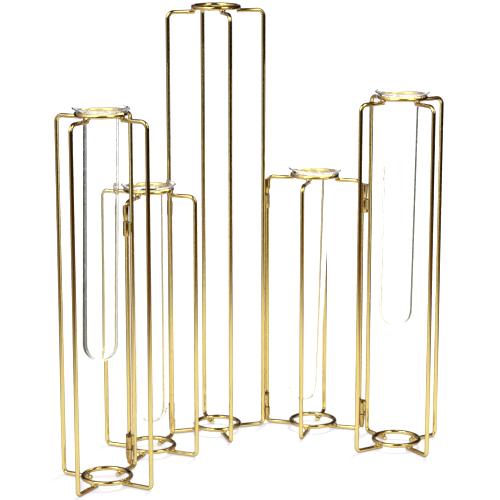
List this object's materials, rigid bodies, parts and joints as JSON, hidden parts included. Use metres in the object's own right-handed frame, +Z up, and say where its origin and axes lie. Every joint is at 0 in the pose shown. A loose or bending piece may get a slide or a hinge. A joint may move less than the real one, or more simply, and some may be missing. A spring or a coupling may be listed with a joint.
{
  "type": "test tube vase",
  "caption": "Hinged flower vase: a chain of square gold-toned wire frames on upright barrel hinges, each with a ring at the top that holds a flared glass test tube.",
  "frame": {"origin": "on the table, under the middle of the box round the opened chain", "axes": "+Z up; +X to the right and +Y away from the viewer in the picture"},
  "size_m": [0.2604, 0.1768, 0.302],
  "materials": {
    "gold_wire": "polished round wire, gold-toned plating",
    "gold_weld": "plated weld and turned barrel, slightly duller",
    "hinge_steel": "plain drawn pin",
    "clear_glass": "clear, fire-polished"
  },
  "bodies": {
    "left_end_frame": {"left_end_leg_left": "gold_wire", "left_end_leg_front": "gold_wire", "left_end_leg_right": "gold_wire", "left_end_leg_back": "gold_wire", "left_end_ring_bottom": "gold_wire", "left_end_ring_top": "gold_wire", "left_outer_bottom_hinge_upper_knuckle": "gold_weld", "left_outer_top_hinge_lower_knuckle": "gold_weld", "left_outer_top_hinge_pin": "hinge_steel"},
    "left_short_frame": {"left_short_leg_left": "gold_wire", "left_short_leg_front": "gold_wire", "left_short_leg_right": "gold_wire", "left_short_leg_back": "gold_wire", "left_short_ring_bottom": "gold_wire", "left_short_ring_top": "gold_wire", "left_outer_bottom_hinge_lower_knuckle": "gold_weld", "left_outer_bottom_hinge_pin": "hinge_steel", "left_outer_top_hinge_upper_knuckle": "gold_weld", "left_inner_bottom_hinge_lower_knuckle": "gold_weld", "left_inner_bottom_hinge_pin": "hinge_steel", "left_inner_top_hinge_upper_knuckle": "gold_weld"},
    "tall_frame": {"tall_leg_left": "gold_wire", "tall_leg_front": "gold_wire", "tall_leg_right": "gold_wire", "tall_leg_back": "gold_wire", "tall_ring_bottom": "gold_wire", "tall_ring_top": "gold_wire", "left_inner_bottom_hinge_upper_knuckle": "gold_weld", "left_inner_top_hinge_lower_knuckle": "gold_weld", "left_inner_top_hinge_pin": "hinge_steel", "right_inner_bottom_hinge_upper_knuckle": "gold_weld", "right_inner_top_hinge_lower_knuckle": "gold_weld", "right_inner_top_hinge_pin": "hinge_steel"},
    "right_short_frame": {"right_short_leg_left": "gold_wire", "right_short_leg_front": "gold_wire", "right_short_leg_right": "gold_wire", "right_short_leg_back": "gold_wire", "right_short_ring_bottom": "gold_wire", "right_short_ring_top": "gold_wire", "right_inner_bottom_hinge_lower_knuckle": "gold_weld", "right_inner_bottom_hinge_pin": "hinge_steel", "right_inner_top_hinge_upper_knuckle": "gold_weld", "right_outer_bottom_hinge_lower_knuckle": "gold_weld", "right_outer_bottom_hinge_pin": "hinge_steel", "right_outer_top_hinge_upper_knuckle": "gold_weld"},
    "right_end_frame": {"right_end_leg_left": "gold_wire", "right_end_leg_front": "gold_wire", "right_end_leg_right": "gold_wire", "right_end_leg_back": "gold_wire", "right_end_ring_bottom": "gold_wire", "right_end_ring_top": "gold_wire", "right_outer_bottom_hinge_upper_knuckle": "gold_weld", "right_outer_top_hinge_lower_knuckle": "gold_weld", "right_outer_top_hinge_pin": "hinge_steel"},
    "left_end_vessel": {"left_end_tube": "clear_glass"},
    "left_short_vessel": {"left_short_tube": "clear_glass"},
    "right_short_vessel": {"right_short_tube": "clear_glass"},
    "right_end_vessel": {"right_end_tube": "clear_glass"}
  },
  "joints": [
    {"name": "left_outer_hinge", "type": "hinge", "parent": "left_short_frame", "child": "left_end_frame", "pos_m": [-0.08557, -0.02976, 0.1], "axis": [0, 0, 1], "range_deg": [-85, 22]},
    {"name": "left_inner_hinge", "type": "hinge", "parent": "tall_frame", "child": "left_short_frame", "pos_m": [-0.05623, 0.03919, 0.1], "axis": [0, 0, 1], "range_deg": [-125, 42]},
    {"name": "right_inner_hinge", "type": "hinge", "parent": "tall_frame", "child": "right_short_frame", "pos_m": [0.01222, 0.06207, 0.1], "axis": [0, 0, 1], "range_deg": [-52, 85]},
    {"name": "right_outer_hinge", "type": "hinge", "parent": "right_short_frame", "child": "right_end_frame", "pos_m": [0.07877, 0.04027, 0.1], "axis": [0, 0, 1], "range_deg": [-44, 85]},
    {"name": "left_end_tube_lift", "type": "slide", "parent": "left_end_frame", "child": "left_end_vessel", "axis": [0.0192, 0, 0.9998], "range_m": [0, 0.17]},
    {"name": "left_short_tube_lift", "type": "slide", "parent": "left_short_frame", "child": "left_short_vessel", "axis": [0, 0, 1], "range_m": [0, 0.17]},
    {"name": "right_short_tube_lift", "type": "slide", "parent": "right_short_frame", "child": "right_short_vessel", "axis": [0.0454, 0, 0.999], "range_m": [0, 0.173]},
    {"name": "right_end_tube_lift", "type": "slide", "parent": "right_end_frame", "child": "right_end_vessel", "axis": [0.014, 0, 0.9999], "range_m": [0, 0.167]}
  ]
}
